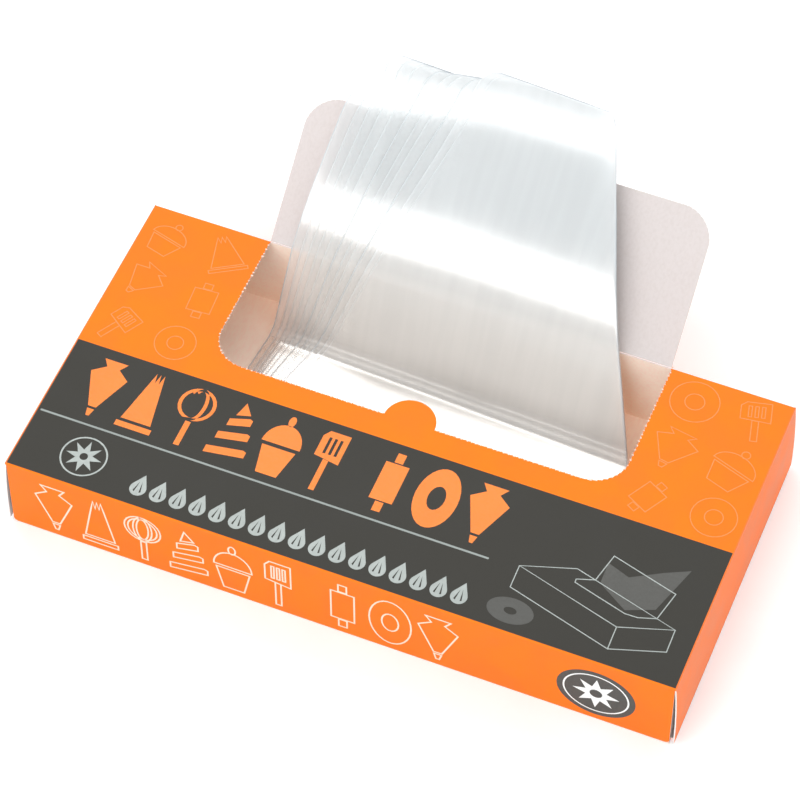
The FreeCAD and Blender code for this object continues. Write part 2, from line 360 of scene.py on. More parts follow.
def paint_board():
    """Materials of every board node, by the side that is the carton's outside."""
    flap_outside = (0.0, math.sin(FLAP_LEAN), -math.cos(FLAP_LEAN))
    # The front, rear, bottom and flap take the darker copy of the orange print: painted shade.
    orange = plain_paint(ORANGE_PAINTED_SHADE)
    paint_node("top_panel", board_material("top_board", (0, 0, 1), top_paint,
                                           creases=PANEL_CREASES))
    paint_node("front_panel", board_material("front_board", (0, -1, 0), orange,
                                             creases=TOP_CREASE))
    # Inner faces of the rear and bottom panels take the warmer raw colour of painted bounce light.
    paint_node("rear_panel", board_material("rear_board", (0, 1, 0), orange, RAW_PAINTED_BOUNCE,
                                            PAINTED_GLOW_STRENGTH))
    paint_node("bottom_panel", board_material("bottom_board", (0, 0, -1), orange, RAW_PAINTED_BOUNCE,
                                              PAINTED_GLOW_STRENGTH))
    paint_node("dispensing_flap", board_material("flap_board", flap_outside, orange))
    # Plain board inside the carton also takes the warmer raw colour of painted bounce light.
    plain = board_material("plain_board", (0, 0, -1), plain_paint(RAW), RAW_PAINTED_BOUNCE)
    paint_node("glue_flap", plain)
    for side, out in (("right", 1), ("left", -1)):
        # End panels and tuck tongues take the pinker, lighter copy of the orange print: painted
        # light.
        end = board_material(side + "_end_board", (out, 0, 0), plain_paint(END_ORANGE_PAINTED_LIGHT),
                             creases=TOP_CREASE)
        paint_node(side + "_end_flap", end)
        tongue = board_material(side + "_tongue_board", (0, 0, -1), plain_paint(END_ORANGE_PAINTED_LIGHT))
        paint_node(side + "_tuck_tongue", tongue)
        for depth in ("front", "rear"):
            paint_node("%s_%s_dust_flap" % (side, depth), plain)


# ---- printed drawings ------------------------------------------------------------------------

INK_LIFT = 0.03 * MM


def circle(centre, radius, count=28, start=0.0, turn=360.0, squeeze=1.0):
    """Points round a circle or part of one; squeeze flattens it in its second direction."""
    whole = abs(turn) >= 360.0
    steps = count if whole else count - 1
    points = []
    for index in range(count):
        angle = math.radians(start + turn * index / steps)
        points.append((centre[0] + radius * math.cos(angle),
                       centre[1] + squeeze * radius * math.sin(angle)))
    return points


def star(centre, outer, inner, tips):
    """Points of a star with the given number of tips."""
    points = []
    for index in range(2 * tips):
        radius = outer if index % 2 == 0 else inner
        angle = math.pi * index / tips
        points.append((centre[0] + radius * math.cos(angle), centre[1] + radius * math.sin(angle)))
    return points


def icon_bag():
    """A filled piping bag with a twisted top and a nozzle."""
    return [[(0.20, 0.98), (0.80, 0.98), (0.66, 0.86), (0.97, 0.72), (0.60, 0.16), (0.40, 0.16),
             (0.03, 0.72), (0.34, 0.86)],
            [(0.41, 0.12), (0.59, 0.12), (0.54, 0.0), (0.46, 0.0)]]


def icon_nozzle():
    """A star nozzle: a cone with a rolled rim and a toothed tip."""
    return [[(0.05, 0.0), (0.95, 0.0), (0.95, 0.09), (0.05, 0.09)],
            [(0.12, 0.14), (0.88, 0.14), (0.66, 0.82), (0.60, 1.0), (0.55, 0.84), (0.50, 1.0),
             (0.45, 0.84), (0.40, 1.0), (0.34, 0.82)]]


def icon_whisk():
    """A balloon whisk standing on its handle."""
    loops = [[(0.43, 0.0), (0.57, 0.0), (0.57, 0.42), (0.43, 0.42)]]
    for reach in (0.46, 0.24):
        outer = circle((0.5, 0.72), reach, 22, squeeze=0.28 / reach)
        inner = circle((0.5, 0.72), reach - 0.09, 22, squeeze=(0.28 - 0.045) / (reach - 0.09))
        loops += [outer, inner]
    return loops


def icon_swirl():
    """A swirl of piped cream in three tiers."""
    tiers = []
    for low, half in ((0.0, 0.48), (0.27, 0.38), (0.52, 0.27)):
        tiers.append([(0.5 - half, low + 0.04), (0.5 + half, low + 0.13), (0.5 + half, low + 0.23),
                      (0.5 + half - 0.08, low + 0.25), (0.5 - half, low + 0.16)])
    tiers.append([(0.33, 0.76), (0.67, 0.82), (0.44, 1.0)])
    return tiers


def icon_cake():
    """A cup cake with a domed top."""
    cup = [(0.08, 0.46), (0.92, 0.46), (0.76, 0.0), (0.24, 0.0)]
    dome = circle((0.5, 0.52), 0.48, 18, 0.0, 180.0, 0.72)
    cherry = circle((0.5, 0.94), 0.09, 12)
    return [cup, dome, cherry]


def icon_spatula():
    """A spatula with a slotted blade."""
    blade = [(0.18, 0.56), (0.82, 0.50), (0.82, 1.0), (0.30, 1.0), (0.18, 0.90)]
    slots = [[(x, 0.62), (x + 0.07, 0.62), (x + 0.07, 0.90), (x, 0.90)]
             for x in (0.34, 0.48, 0.62)]
    handle = [(0.43, 0.0), (0.57, 0.0), (0.57, 0.52), (0.43, 0.53)]
    return [blade, handle] + slots


def icon_pin():
    """A rolling pin on its end."""
    body = [(0.22, 0.18), (0.78, 0.18), (0.78, 0.82), (0.22, 0.82)]
    grips = [[(0.40, low), (0.60, low), (0.60, low + 0.16), (0.40, low + 0.16)]
             for low in (0.0, 0.84)]
    return [body] + grips


def icon_ring():
    """A ring doughnut with a bite of icing."""
    return [circle((0.5, 0.5), 0.5, 30), circle((0.5, 0.5), 0.2, 18)]


def top_at(x, y):
    """Point just above the top panel."""
    return Vector((x, y, TOP + INK_LIFT))


def front_at(x, z):
    """Point just before the front panel."""
    return Vector((x, FRONT - INK_LIFT, z))


def rear_at(x, z):
    """Point just behind the rear panel, drawn the right way round from behind."""
    return Vector((-x, REAR + INK_LIFT, z))


def under_drawing(x, y):
    """Point between the top panel and the lines drawn on it."""
    return Vector((x, y, TOP + INK_LIFT / 2))


def before_badge(x, z):
    """Point just before the badge on the front panel."""
    return Vector((x, FRONT - 2 * INK_LIFT, z))


def filled(name, loops, place):
    """Mesh of closed loops filled as one even-odd outline and laid on a surface."""
    curve = bpy.data.curves.new(name, "CURVE")
    curve.dimensions = "2D"
    curve.fill_mode = "BOTH"
    for loop in loops:
        spline = curve.splines.new("POLY")
        spline.points.add(len(loop) - 1)
        for point, (u, v) in zip(spline.points, loop):
            point.co = (u, v, 0.0, 1.0)
        spline.use_cyclic_u = True
    drawing = bpy.data.objects.new(name + "_outline", curve)
    mesh = bpy.data.meshes.new_from_object(drawing)
    bpy.data.objects.remove(drawing)
    bpy.data.curves.remove(curve)
    for vertex in mesh.vertices:
        vertex.co = place(vertex.co.x, vertex.co.y)
    mesh.name = name
    return mesh


def add_piece(name, mesh, material, body):
    """Put a mesh in the scene as a piece that rides on a body."""
    piece = bpy.data.objects.new(name, mesh)
    mesh.materials.clear()
    mesh.materials.append(material)
    bpy.context.collection.objects.link(piece)
    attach(piece, body)
    return piece


MITRE_LIMIT = 2.2
NO_LENGTH = 1e-6


def stroke(points, width, closed=True):
    """Four-sided patches that draw a line of constant width along points, mitred at corners."""
    count = len(points)
    sides = []
    for index in range(count):
        here = Vector(points[index])
        before = Vector(points[index - 1]) if closed or index > 0 else None
        after = Vector(points[(index + 1) % count]) if closed or index < count - 1 else None
        into = (here - before).normalized() if before is not None else (after - here).normalized()
        away = (after - here).normalized() if after is not None else into
        across = Vector((-(into + away).y, (into + away).x))
        if across.length < NO_LENGTH:
            across = Vector((-away.y, away.x))
        across.normalize()
        reach = 1.0 / max(across.dot(Vector((-away.y, away.x))), 1.0 / MITRE_LIMIT)
        offset = across * reach * width / 2
        sides.append((tuple(here + offset), tuple(here - offset)))
    pairs = list(zip(sides, sides[1:]))
    if closed:
        pairs.append((sides[-1], sides[0]))
    return [[a[0], b[0], b[1], a[1]] for a, b in pairs]


# Strokes overlap at corners, so neighbours lie a little apart to keep them out of one plane.
LIFT_STEPS = 5
LIFT_STEP = 0.006 * MM


def quads(name, loops, place):
    """Mesh of separate patches laid on a surface, in thin steps so that none lie in one plane."""
    outward = (place(1, 0) - place(0, 0)).cross(place(0, 1) - place(0, 0))
    vertices = []
    faces = []
    for index, loop in enumerate(loops):
        lift = outward * (index % LIFT_STEPS) * LIFT_STEP
        start = len(vertices)
        vertices += [place(u, v) + lift for u, v in loop]
        faces.append(list(range(start, start + len(loop))))
    mesh = bpy.data.meshes.new(name)
    mesh.from_pydata(vertices, [], faces)
    return mesh


def icon_loops(icon, left, low, wide, tall):
    """An icon's outlines scaled into a cell."""
    return [[(left + u * wide, low + v * tall) for u, v in loop] for loop in icon()]


FIRST_ICONS = [icon_bag, icon_nozzle, icon_whisk, icon_swirl, icon_cake, icon_spatula]
SECOND_ICONS = [icon_pin, icon_ring, icon_bag]
FIRST_LEFT, FIRST_RIGHT = -128.5 * MM, -15.0 * MM
SECOND_LEFT, SECOND_RIGHT = -5.0 * MM, 52.5 * MM
ICON_FILL = 0.88
BAND_ICONS = FRONT + 33.4 * MM
BAND_ICON_HEIGHT = 29.3 * MM
FRONT_ICONS = 4.2 * MM
FRONT_ICON_HEIGHT = 28.5 * MM
FRONT_ICON_LINE = 0.7 * MM


def icon_row(low, tall):
    """Outlines of the two groups of pictograms standing on a line."""
    loops = []
    groups = ((FIRST_ICONS, FIRST_LEFT, FIRST_RIGHT), (SECOND_ICONS, SECOND_LEFT, SECOND_RIGHT))
    for icons, left, right in groups:
        cell = (right - left) / (len(icons) - 1 + ICON_FILL)
        for index, icon in enumerate(icons):
            loops += icon_loops(icon, left + index * cell, low, cell * ICON_FILL, tall)
    return loops


def print_band_icons():
    """Row of bold orange pictograms on the band, behind the silver rule."""
    loops = icon_row(BAND_ICONS, BAND_ICON_HEIGHT)
    mesh = filled("band_pictograms", loops, top_at)
    add_piece("band_pictograms", mesh, ink_material("orange_ink", LETTER_ORANGE), "carton")


DROPS = 17
DROP_LEFT, DROP_RIGHT = -90.5 * MM, 53.0 * MM
DROP_BASE = FRONT + 5.0 * MM
DROP_RADIUS = 3.4 * MM
DROP_TIP = (0.5 * MM, 10.4 * MM)
DROP_GROOVE = ((1.7 * MM, 2.0 * MM), (1.0 * MM, 1.6 * MM), (0.5 * MM, 7.0 * MM))
EMBLEM = (-112.5 * MM, FRONT + 14.5 * MM)
EMBLEM_RING = (9.6 * MM, 8.9 * MM)
EMBLEM_STAR = (7.6 * MM, 3.4 * MM)
EMBLEM_HOLE = 1.7 * MM
STAR_TIPS = 8


def drop_loops(middle, base):
    """Outline of a piped drop with a pointed top, and two grooves in it."""
    body = circle((middle, base + DROP_RADIUS), DROP_RADIUS, count=20, start=150.0, turn=240.0)
    loops = [body + [(middle + DROP_TIP[0], base + DROP_TIP[1])]]
    for side in (-1, 1):
        loops.append([(middle + side * across, base + up) for across, up in DROP_GROOVE])
    return loops


def print_drop_row(silver):
    """Silver star-nozzle emblem and a row of piped drops, in front of the silver rule."""
    loops = [circle(EMBLEM, radius, count=44) for radius in EMBLEM_RING]
    loops += [star(EMBLEM, *EMBLEM_STAR, STAR_TIPS), circle(EMBLEM, EMBLEM_HOLE, count=18)]
    pitch = (DROP_RIGHT - DROP_LEFT) / DROPS
    for index in range(DROPS):
        loops += drop_loops(DROP_LEFT + (index + 0.5) * pitch, DROP_BASE)
    mesh = filled("band_drops", loops, top_at)
    add_piece("band_drops", mesh, silver, "carton")


BADGE = (108.8 * MM, 17.8 * MM)
BADGE_RADIUS = 16.1 * MM
BADGE_SQUEEZE = 0.9
BADGE_RING = (13.6 * MM, 12.9 * MM)
BADGE_STAR = (9.6 * MM, 4.6 * MM)
BADGE_HOLE = 2.6 * MM


def print_front():
    """Outlined pictograms and the oval badge on the front panel."""
    loops = []
    for loop in icon_row(FRONT_ICONS, FRONT_ICON_HEIGHT):
        loops += stroke(loop, FRONT_ICON_LINE)
    mesh = quads("front_pictograms", loops, front_at)
    add_piece("front_pictograms", mesh, ink_material("peach_ink", PEACH), "carton")
    oval = circle(BADGE, BADGE_RADIUS, count=56, squeeze=BADGE_SQUEEZE)
    mesh = filled("front_badge", [oval], front_at)
    add_piece("front_badge", mesh, ink_material("badge_ink", CHARCOAL, rough=0.4), "carton")
    emblem = [star(BADGE, *BADGE_STAR, STAR_TIPS), circle(BADGE, BADGE_HOLE, count=20)]
    emblem += [circle(BADGE, radius, count=48, squeeze=BADGE_SQUEEZE) for radius in BADGE_RING]
    mesh = filled("front_badge_emblem", emblem, before_badge)
    add_piece("front_badge_emblem", mesh, ink_material("white_ink", WHITE_INK), "carton")


DRAWING_CORNER = Vector((65.2 * MM, FRONT + 30.6 * MM))
DRAWING_X = Vector((44.3 * MM, -12.5 * MM))
DRAWING_Y = Vector((21.2 * MM, 7.0 * MM))
DRAWING_Z = Vector((-0.2 * MM, 10.6 * MM))
DRAWING_LINE = 0.42 * MM
DOUGHNUT = (69.3 * MM, FRONT + 9.8 * MM)
DOUGHNUT_RADIUS = 9.4 * MM
DOUGHNUT_HOLE = 2.6 * MM
DOUGHNUT_SQUEEZE = 0.62


def sketch(x, y, z):
    """A point of the carton drawn small and oblique; each value runs from 0 to 1 over it."""
    return tuple(DRAWING_CORNER + DRAWING_X * x + DRAWING_Y * y + DRAWING_Z * (z - 1.0))


def print_box_drawing(silver):
    """Small line drawing of an open dispenser carton, with its film and a doughnut."""
    left = 0.5 - MOUTH_HALF / (2 * END)
    right = 1.0 - left
    lip = 1.0 - MOUTH_DEPTH / WIDTH
    cut = 0.06
    top = [sketch(0, 0, 1), sketch(1, 0, 1), sketch(1, 1, 1), sketch(0, 1, 1)]
    front = [sketch(0, 0, 1), sketch(0, 0, 0), sketch(1, 0, 0), sketch(1, 0, 1)]
    end = [sketch(1, 0, 0), sketch(1, 1, 0), sketch(1, 1, 1)]
    mouth = [sketch(left, 1, 1), sketch(left, lip + 2 * cut, 1), sketch(left + cut, lip, 1),
             sketch(right - cut, lip, 1), sketch(right, lip + 2 * cut, 1), sketch(right, 1, 1)]
    flap = [sketch(left, 1, 1), sketch(left, 1.15, 2.15), sketch(right, 1.15, 2.15),
            sketch(right, 1, 1)]
    loops = stroke(top, DRAWING_LINE)
    for line in (front, end, mouth, flap):
        loops += stroke(line, DRAWING_LINE, closed=False)
    add_piece("box_drawing", quads("box_drawing", loops, top_at), silver, "carton")
    film = [sketch(left + 0.05, 1, 1), sketch(left - 0.05, 1.2, 1.7), sketch(0.4, 1.1, 1.75),
            sketch(0.62, 1.2, 2.6), sketch(right - 0.02, 1.3, 3.2), sketch(right - 0.04, 1, 1.3),
            sketch(right - 0.12, lip + 0.1, 1)]
    ring = [circle(DOUGHNUT, DOUGHNUT_RADIUS, count=36, squeeze=DOUGHNUT_SQUEEZE),
            circle(DOUGHNUT, DOUGHNUT_HOLE, count=20, squeeze=DOUGHNUT_SQUEEZE)]
    mesh = filled("box_drawing_shades", [film] + ring, under_drawing)
    add_piece("box_drawing_shades", mesh, ink_material("smoke_ink", SMOKE), "carton")


# Sizes, insets and reach are shares of a grid cell or of a pictogram; turns are in degrees.
PATTERN_SEED = 7
PATTERN_LINE = 0.45 * MM
PATTERN_SHIFT = 1.0 * MM
PATTERN_TURN = 35.0
PATTERN_SIZES = (0.68, 0.82)
PATTERN_INSET = (0.12, 0.10)
PATTERN_REACH = 0.62
PATTERN_ICONS = [icon_ring, icon_cake, icon_pin, icon_bag, icon_spatula, icon_nozzle]
TOP_CELL = 24.5 * MM
REAR_CELL = 25.0 * MM
TOP_PATTERN_FRONT = BAND_REAR + 1.0 * MM
REAR_PATTERN_FOOT = 4.0 * MM


def turned_icon(icon, middle, size, turn):
    """An icon's outlines scaled and turned about a point."""
    cosine, sine = size * math.cos(turn), size * math.sin(turn)
    return [[(middle[0] + (u - 0.5) * cosine - (v - 0.5) * sine,
              middle[1] + (u - 0.5) * sine + (v - 0.5) * cosine) for u, v in loop]
            for loop in icon()]


def near_mouth(x, y, reach):
    """Whether a place on the top panel is closer to the mouth than the reach."""
    return abs(x) < MOUTH_HALF + reach and y > REAR - MOUTH_DEPTH - reach


def scattered_icons(low, high, cell, skip=None):
    """Lines of small pictograms on a loose grid over a rectangle, none where skip says."""
    rng = random.Random(PATTERN_SEED)
    loops = []
    rows = max(1, int((high[1] - low[1]) / cell))
    columns = int((high[0] - low[0]) / cell)
    wide, tall = (high[0] - low[0]) / columns, (high[1] - low[1]) / rows
    for row in range(rows):
        for column in range(columns):
            size = cell * rng.uniform(*PATTERN_SIZES)
            left = low[0] + (column + PATTERN_INSET[0]) * wide + rng.uniform(-1, 1) * PATTERN_SHIFT
            foot = low[1] + (row + PATTERN_INSET[1]) * tall + rng.uniform(-1, 1) * PATTERN_SHIFT
            turn = math.radians(rng.uniform(-PATTERN_TURN, PATTERN_TURN))
            icon = rng.choice(PATTERN_ICONS)
            middle = (left + size / 2, foot + size / 2)
            if skip and skip(*middle, size * PATTERN_REACH):
                continue
            for loop in turned_icon(icon, middle, size, turn):
                loops += stroke(loop, PATTERN_LINE)
    return loops


def print_pattern():
    """Faint outlined pictograms over the orange of the top and rear panels."""
    faint = ink_material("faint_orange_ink", FAINT_ORANGE)
    loops = scattered_icons((-END, TOP_PATTERN_FRONT), (END, REAR), TOP_CELL, near_mouth)
    add_piece("top_pattern", quads("top_pattern", loops, top_at), faint, "carton")
    loops = scattered_icons((-END, REAR_PATTERN_FOOT), (END, TOP), REAR_CELL)
    add_piece("rear_pattern", quads("rear_pattern", loops, rear_at), faint, "carton")


# ---- torn fibres along the mouth ----------------------------------------------------------------

TUFT_SEED = 11
TUFT_HALF_WIDTH = (0.15 * MM, 0.5 * MM)
TUFT_REACH = (0.5 * MM, 1.1 * MM)
TUFT_RISE = (0.02 * MM, 0.15 * MM)
TUFT_SHIFT = 0.5 * MM
TUFT_INSET = 0.3 * MM
TUFT_LIFT = 0.02 * MM
TUFT_TIP = (0.4, 0.5)
TUFT_ROUGHNESS = 0.85


def mouth_line(step):
    """Points along the torn line with the direction towards the mouth at each one."""
    lip = REAR - MOUTH_DEPTH
    bend = MOUTH_CORNER
    half = MOUTH_HALF
    marks = []
    for side in (-1, 1):
        for index in range(int((MOUTH_DEPTH - bend) / step)):
            marks.append(((side * half, REAR - index * step), (-side, 0.0)))
        for index in range(int(math.pi / 2 * bend / step)):
            angle = index * step / bend
            inward = (-side * math.cos(angle), math.sin(angle))
            centre = (side * (half - bend), lip + bend)
            marks.append(((centre[0] - inward[0] * bend, centre[1] - inward[1] * bend), inward))
        for index in range(int((half - bend - TAB_RADIUS) / step)):
            marks.append(((side * (half - bend - index * step), lip), (0.0, 1.0)))
    return marks


def torn_fibres():
    """Short tufts of white fibre that stand up where each nib tore."""
    rng = random.Random(TUFT_SEED)
    vertices = []
    faces = []
    for (x, y), (across, along) in mouth_line(NIB_PITCH):
        half = rng.uniform(*TUFT_HALF_WIDTH)
        deep = rng.uniform(*TUFT_REACH)
        rise = rng.uniform(*TUFT_RISE)
        sideways = Vector((-along, across, 0.0))
        towards = Vector((across, along, 0.0))
        root = Vector((x, y, TOP + TUFT_LIFT)) - towards * TUFT_INSET
        root += sideways * rng.uniform(-TUFT_SHIFT, TUFT_SHIFT)
        tip = root + towards * deep + Vector((0.0, 0.0, rise))
        start = len(vertices)
        vertices += [root - sideways * half, root + sideways * half,
                     tip + sideways * half * TUFT_TIP[0], tip - sideways * half * TUFT_TIP[1]]
        faces.append([start, start + 1, start + 2, start + 3])
    mesh = bpy.data.meshes.new("torn_fibres")
    mesh.from_pydata(vertices, [], faces)
    add_piece("torn_fibres", mesh, ink_material("fibre", TORN, TUFT_ROUGHNESS), "carton")


# ---- film bags ---------------------------------------------------------------------------------

# The side view of a layer: it lies, turns up at the fold, leans on the crease and curls up again.
FOLD_REACH = 5.5 * MM
FOLD_SKEW = 6.5 * MM
RELAXED_AT = 54.0 * MM
RELAXED_LEAN = math.radians(38.0)
CURL_RATE = 1.6
LEFT_SQUEEZE = 0.09
SQUEEZE_FADE = 60.0 * MM
CURVE_LENGTH = 120.0 * MM
CURVE_STEP = 0.5 * MM

# The outline of a layer. Its place in the fan runs from 0, the outermost, to 1, the innermost.
TOP_NOMINAL = 92.0 * MM
TOP_SHIFT_FROM = 50.0 * MM
OUTER_GROUP = 0.18
SECOND_GROUP = 0.5
THIRD_GROUP = 0.85
OUTER_CORNER = (18.0 * MM, 32.0 * MM)
INNER_CORNER = (6.0 * MM, 7.0 * MM)
RIGHT_CORNER = (3.0 * MM, 5.0 * MM)
OUTER_SIDE_TAPER = 0.08
RIGHT_STAGGER = 9.0 * MM
FAN_JITTER = 0.015
SECOND_WALL = BAGS_PER_BUNDLE / 2
SEED_STEP = 10

# Top edges: the height at a place across the stack, that place, and the rise per length across.
OUTER_TOP = (86.5 * MM, -50.0 * MM, -0.05)
SECOND_TOP = (90.0 * MM, -51.5 * MM, -0.055)
THIRD_TOP = (88.9 * MM, -33.4 * MM, 0.13)
FRONT_TOP = (95.0 * MM, -1.5 * MM, -0.05)
THIRD_BELOW_FRONT = 0.6 * MM

# Seams, ripples, the milky and dull parts of the film, and the painted light that makes it paler
# low down.
SEAM = 0.75 * MM
SEAM_DROP = 0.10 * MM
LEFT_WEIGHTS = (0.45, 1.0)
RIGHT_WEIGHT = 0.8
RIPPLE = 0.05 * MM
RIPPLE_X = 19.0 * MM
RIPPLE_ALONG = 31.0 * MM
HAZE_AND_LIGHT_END = 45.0 * MM
HAZE_AND_LIGHT_FADE = 60.0 * MM
STEEP_FADE = 6.0 * MM
FOLD_FADE = 4.0 * MM
RIM_FROM = 83.0 * MM
RIM_FADE = 6.0 * MM
LYING_SHINE = 0.9

# The film's looks, and the fineness of its mesh.
OUTER_ALPHA = 0.36
INNER_ALPHA = 0.50
INNER_POWER = 3
SEAM_ALPHA = 0.64
FILM_GLOSS = 0.22
STEEP_GLOSS = 0.05
FILM_SPECULAR = 0.2
FILM_ROUGHNESS = (0.15, 0.18)
STREAK_STRETCH = (1.0, 0.06, 0.06)
STREAK_SCALE = 300.0
STREAK_DETAIL = 2.0
STREAK_LIGHTNESS = (0.97, 1.0)
COLUMNS = 24
ROWS = 110
EDGE_STEPS = (0.0, 0.3 * MM, 0.6 * MM, 0.9 * MM, 1.8 * MM)


def ease(value):
    """Smooth step from 0 to 1."""
    value = min(max(value, 0.0), 1.0)
    return value * value * (3 - 2 * value)


def slope(angle):
    """Unit vector that rises to the rear at an angle."""
    return Vector((0.0, math.cos(angle), math.sin(angle)))


def front_normal(angle):
    """Unit vector square to a slope, on its upper and front side."""
    return Vector((0.0, -math.sin(angle), math.cos(angle)))


def crease_point(depth):
    """Where a layer bends over the carton's rear crease."""
    flap_side = Vector((0.0, REAR, TOP)) + front_normal(FLAP_LEAN) * (BOARD + FLAP_TO_BAGS)
    mitre = front_normal((STEEP_LEAN + FLAP_LEAN) / 2)
    return flap_side + mitre * (depth / math.cos((STEEP_LEAN - FLAP_LEAN) / 2))


def fold_point(depth):
    """Where a layer turns up from the carton's floor."""
    crease = crease_point(depth)
    along = slope(STEEP_LEAN)
    return crease - along * ((crease.z - STACK_FOOT - depth) / along.z)


def front_edge(depth):
    """Distance along a layer, below the rear crease, of its edge at the front of the carton."""
    run = (crease_point(depth) - fold_point(depth)).length
    return -run - (fold_point(depth).y - LYING_FRONT)


def rounded(vertex, before, after, reach, along):
    """Point on a rounded corner, with along from -reach to reach through the vertex."""
    s = (along + reach) / (2 * reach)
    start = vertex - before * reach
    end = vertex + after * reach
    return start * (1 - s) ** 2 + vertex * 2 * s * (1 - s) + end * s ** 2


def standing_slope(along):
    """Slope of the standing film: it leaves the crease steeply, relaxes and curls up again."""
    off = along - RELAXED_AT
    rate = (STEEP_LEAN - RELAXED_LEAN) / RELAXED_AT ** 2
    if off > 0:
        rate *= CURL_RATE
    return RELAXED_LEAN + rate * off * off


def standing_curve():
    """Points of the standing film at even steps from the rear crease, from its slope."""
    point = Vector((0.0, 0.0, 0.0))
    points = [point.copy()]
    for index in range(int(CURVE_LENGTH / CURVE_STEP)):
        point += slope(standing_slope((index + 0.5) * CURVE_STEP)) * CURVE_STEP
        points.append(point.copy())
    return points


STANDING = standing_curve()


def fold_shift(x):
    """How far behind the stack's fold line the film turns up at x, most at its left end."""
    return FOLD_SKEW * (RIGHT_EDGE - x) / (RIGHT_EDGE - LEFT_EDGE)


def left_squeeze(x):
    """How much sooner the film curls up towards its left side."""
    return 1.0 + LEFT_SQUEEZE * ease(-x / SQUEEZE_FADE)


def path_point(depth, along, x):
    """Point on a layer at x, at a distance up from the rear crease."""
    crease = crease_point(depth)
    fold = fold_point(depth) + slope(0.0) * fold_shift(x)
    run = (crease - fold).length
    rise = (crease - fold) / run
    if along > 0:
        squeeze = left_squeeze(x)
        steps = along * squeeze / CURVE_STEP
        index = int(steps)
        return crease + STANDING[index].lerp(STANDING[index + 1], steps - index) / squeeze
    if along > -run + FOLD_REACH:
        return crease + rise * along
    if along > -run - FOLD_REACH:
        return rounded(fold, slope(0.0), rise, FOLD_REACH, along + run)
    return fold + slope(0.0) * (along + run)


def left_edge(fan, along):
    """Left edge of a layer at its place in the fan."""
    taper = OUTER_SIDE_TAPER + (SIDE_TAPER - OUTER_SIDE_TAPER) * fan
    return LEFT_EDGE + FAN_WIDTH * fan + taper * along


def corner_cut(along, corner):
    """How far a rounded top corner pulls the edge in at a height."""
    wide, tall = corner
    share = (tall - (TOP_NOMINAL - along)) / tall
    if share <= 0:
        return 0.0
    return wide * (1 - math.sqrt(max(1 - share * share, 0.0)))


def top_line(x, line):
    """Height at x of a sloping top edge."""
    height, across, rise = line
    return height + rise * (x - across)


def top_height(fan, x):
    """Height of a layer's folded top edge at x; the layers stand in four groups."""
    if fan < OUTER_GROUP:
        return top_line(x, OUTER_TOP)
    if fan < SECOND_GROUP:
        return top_line(x, SECOND_TOP)
    if fan < THIRD_GROUP:
        return min(top_line(x, THIRD_TOP), top_line(x, FRONT_TOP) - THIRD_BELOW_FRONT)
    return top_line(x, FRONT_TOP)


def spaced(low, high, count):
    """Values from low to high, close together near each end."""
    inner_low, inner_high = low + EDGE_STEPS[-1], high - EDGE_STEPS[-1]
    first = [low + step for step in EDGE_STEPS]
    middle = [inner_low + (inner_high - inner_low) * i / count for i in range(1, count)]
    last = [high - step for step in reversed(EDGE_STEPS)]
    return first + middle + last


def seam_at(x, along, left, right, left_weight):
    """1 on the film's sealed sides and folded top, 0 away from them."""
    left_seam = left_weight * max(0.0, 1.0 - (x - left) / SEAM)
    right_seam = RIGHT_WEIGHT * max(0.0, 1.0 - (right - x) / SEAM)
    top_seam = max(0.0, 1.0 - (TOP_NOMINAL - along) / SEAM)
    return max(left_seam, right_seam, top_seam)


def dullness(x, along, at, run):
    """1 on the steep part and along the top rim, 0 between them and below 0 on the lying part."""
    turned = ease((along + run - fold_shift(x) / 2 + FOLD_REACH) / FOLD_FADE)
    steep = turned * ease(1.0 - along / STEEP_FADE)
    rim = ease((at * left_squeeze(x) - RIM_FROM) / RIM_FADE)
    return max(steep, rim) - LYING_SHINE * (1.0 - turned)


def leaf(number, lowest, highest, fan_shift, left_weight, rng):
    """Rows of points of one film wall between two distances along it, and their attributes."""
    in_front_bag = number >= BAG_COUNT - 1
    depth = number * BAG_PITCH + (FRONT_BAG_GAP if in_front_bag else 0.0)
    fan = min(number // BAGS_PER_BUNDLE * BAGS_PER_BUNDLE / (BAG_COUNT - 1), 1.0)
    fan_here = min(max(fan + fan_shift, 0.0), 1.0)
    run = (crease_point(depth) - fold_point(depth)).length
    corner = OUTER_CORNER if fan < OUTER_GROUP else INNER_CORNER
    stagger = 0.0 if in_front_bag else RIGHT_STAGGER * rng.random()
    body = OUTER_ALPHA + (INNER_ALPHA - OUTER_ALPHA) * fan ** INNER_POWER
    rows = []
    marks = {"seam": [], "haze_and_painted_light": [], "dull": [], "body": []}
    for along in spaced(max(lowest, front_edge(depth)), highest, ROWS):
        left = left_edge(fan_here, along) + corner_cut(along, corner)
        right = RIGHT_EDGE - stagger - SIDE_TAPER * along - corner_cut(along, RIGHT_CORNER)
        lift = ease((along - TOP_SHIFT_FROM) / (TOP_NOMINAL - TOP_SHIFT_FROM))
        # 1 low down, where the film is paler: milkier film and painted light.
        haze_and_painted_light = ease((HAZE_AND_LIGHT_END - along) / HAZE_AND_LIGHT_FADE)
        row = []
        for x in spaced(left, right, COLUMNS):
            at = along + lift * (top_height(fan, x) - TOP_NOMINAL)
            seam = seam_at(x, along, left, right, left_weight)
            ripple = RIPPLE * math.sin(x / RIPPLE_X + math.sin(at / RIPPLE_ALONG))
            point = path_point(depth, at, x)
            off = front_normal(FLAP_LEAN) * (ripple - SEAM_DROP * seam)
            row.append(Vector((x, point.y, point.z)) + off)
            marks["seam"].append(seam)
            marks["haze_and_painted_light"].append(haze_and_painted_light)
            marks["dull"].append(dullness(x, along, at, run))
            marks["body"].append(body)
        rows.append(row)
    return rows, marks


